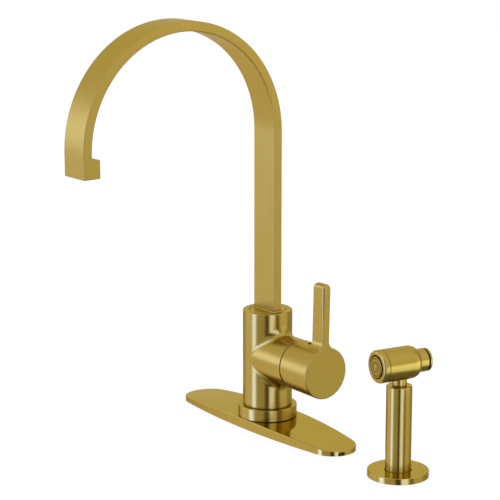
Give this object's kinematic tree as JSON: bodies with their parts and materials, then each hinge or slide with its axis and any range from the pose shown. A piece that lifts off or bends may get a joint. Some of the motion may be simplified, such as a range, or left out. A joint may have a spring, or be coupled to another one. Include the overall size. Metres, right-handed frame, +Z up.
{
  "type": "side spray kitchen faucet",
  "caption": "Kitchen faucet with a flat strap spout bent in a high half circle, a side lever, an elongated deck plate and a separate pull-out side sprayer in its deck holder.",
  "frame": {"origin": "On the sink deck's top surface, under the axis of the faucet's body", "axes": "+Z up along the body, +X towards the handle and the sprayer, -Y towards the person at the sink, where the spout reaches"},
  "size_m": [0.362, 0.2631, 0.5097],
  "materials": {
    "brushed_brass": "satin brushed brass, fine brush lines",
    "raw_brass": "machined brass",
    "steel": "machined stainless steel",
    "rubber": "matte black rubber",
    "foam": "dark closed-cell foam",
    "black_plastic": "black moulded plastic",
    "grey_plastic": "grey moulded plastic",
    "ceramic": "lapped white ceramic"
  },
  "bodies": {
    "faucet_base": {"deck_plate": "brushed_brass", "deck_under_plate": "grey_plastic", "deck_gasket": "foam", "base_ring": "brushed_brass", "valve_body": "brushed_brass", "mounting_shank": "raw_brass", "rubber_washer": "rubber", "metal_washer": "steel", "mounting_nut": "raw_brass", "shank_plug": "black_plastic", "cold_supply_nipple": "raw_brass", "hot_supply_nipple": "raw_brass", "sprayer_nipple": "raw_brass", "spout_retaining_screw": "steel", "cartridge_seal": "rubber", "cartridge_housing": "grey_plastic", "fixed_ceramic_disc": "ceramic", "cartridge_nut": "raw_brass", "sprayer_flange": "brushed_brass", "sprayer_holder": "raw_brass", "sprayer_liner": "black_plastic", "sprayer_rubber_washer": "rubber", "sprayer_nut": "black_plastic"},
    "spout_assembly": {"spout": "brushed_brass", "spout_collar": "brushed_brass", "upper_spout_seal": "rubber", "lower_spout_seal": "rubber", "aerator_housing": "brushed_brass", "aerator_insert": "black_plastic", "aerator_washer": "rubber"},
    "turret": {"cartridge_turret": "black_plastic", "stem_pivot_pin": "steel"},
    "ceramic_disc": {"moving_ceramic_disc": "ceramic"},
    "lever": {"handle": "brushed_brass", "handle_stem": "raw_brass", "handle_set_screw": "steel"},
    "hose_coupling": {"sprayer_hose_coupling": "raw_brass"},
    "wand": {"sprayer_grip": "brushed_brass", "sprayer_neck": "brushed_brass", "sprayer_head": "brushed_brass", "sprayer_front_ring": "brushed_brass", "sprayer_nozzle_face": "brushed_brass", "sprayer_button_spring": "steel"},
    "spray_button": {"sprayer_button": "brushed_brass", "sprayer_button_sleeve": "black_plastic", "sprayer_valve_seal": "rubber", "sprayer_valve_rod": "steel"}
  },
  "joints": [
    {"name": "spout_swivel", "type": "hinge", "parent": "faucet_base", "child": "spout_assembly", "pos_m": [0, 0, 0], "axis": [0, 0, 1], "continuous": true},
    {"name": "handle_temperature", "type": "hinge", "parent": "faucet_base", "child": "turret", "pos_m": [0, 0, 0.0755], "axis": [1, 0, 0], "range_deg": [-45, 45]},
    {"name": "handle_flow", "type": "hinge", "parent": "turret", "child": "lever", "pos_m": [0.041, 0, 0.0755], "axis": [0, 1, 0], "range_deg": [0, 15]},
    {"name": "disc_slide", "type": "slide", "parent": "turret", "child": "ceramic_disc", "axis": [0, 0, 1], "range_m": [0, 0.0027]},
    {"name": "wand_lift", "type": "slide", "parent": "faucet_base", "child": "hose_coupling", "axis": [0, 0, 1], "range_m": [0, 0.14]},
    {"name": "wand_swivel", "type": "hinge", "parent": "hose_coupling", "child": "wand", "pos_m": [0.2032, 0, 0], "axis": [0, 0, 1], "continuous": true},
    {"name": "spray_button_press", "type": "slide", "parent": "wand", "child": "spray_button", "axis": [-0.1564, -0.9877, 0], "range_m": [0, 0.0015], "stiffness_N_per_m": 600, "springref_m": -0.003}
  ],
  "couplings": [
    {"joint": "disc_slide", "follows": "handle_flow", "m_per_rad": 0.0098}
  ]
}
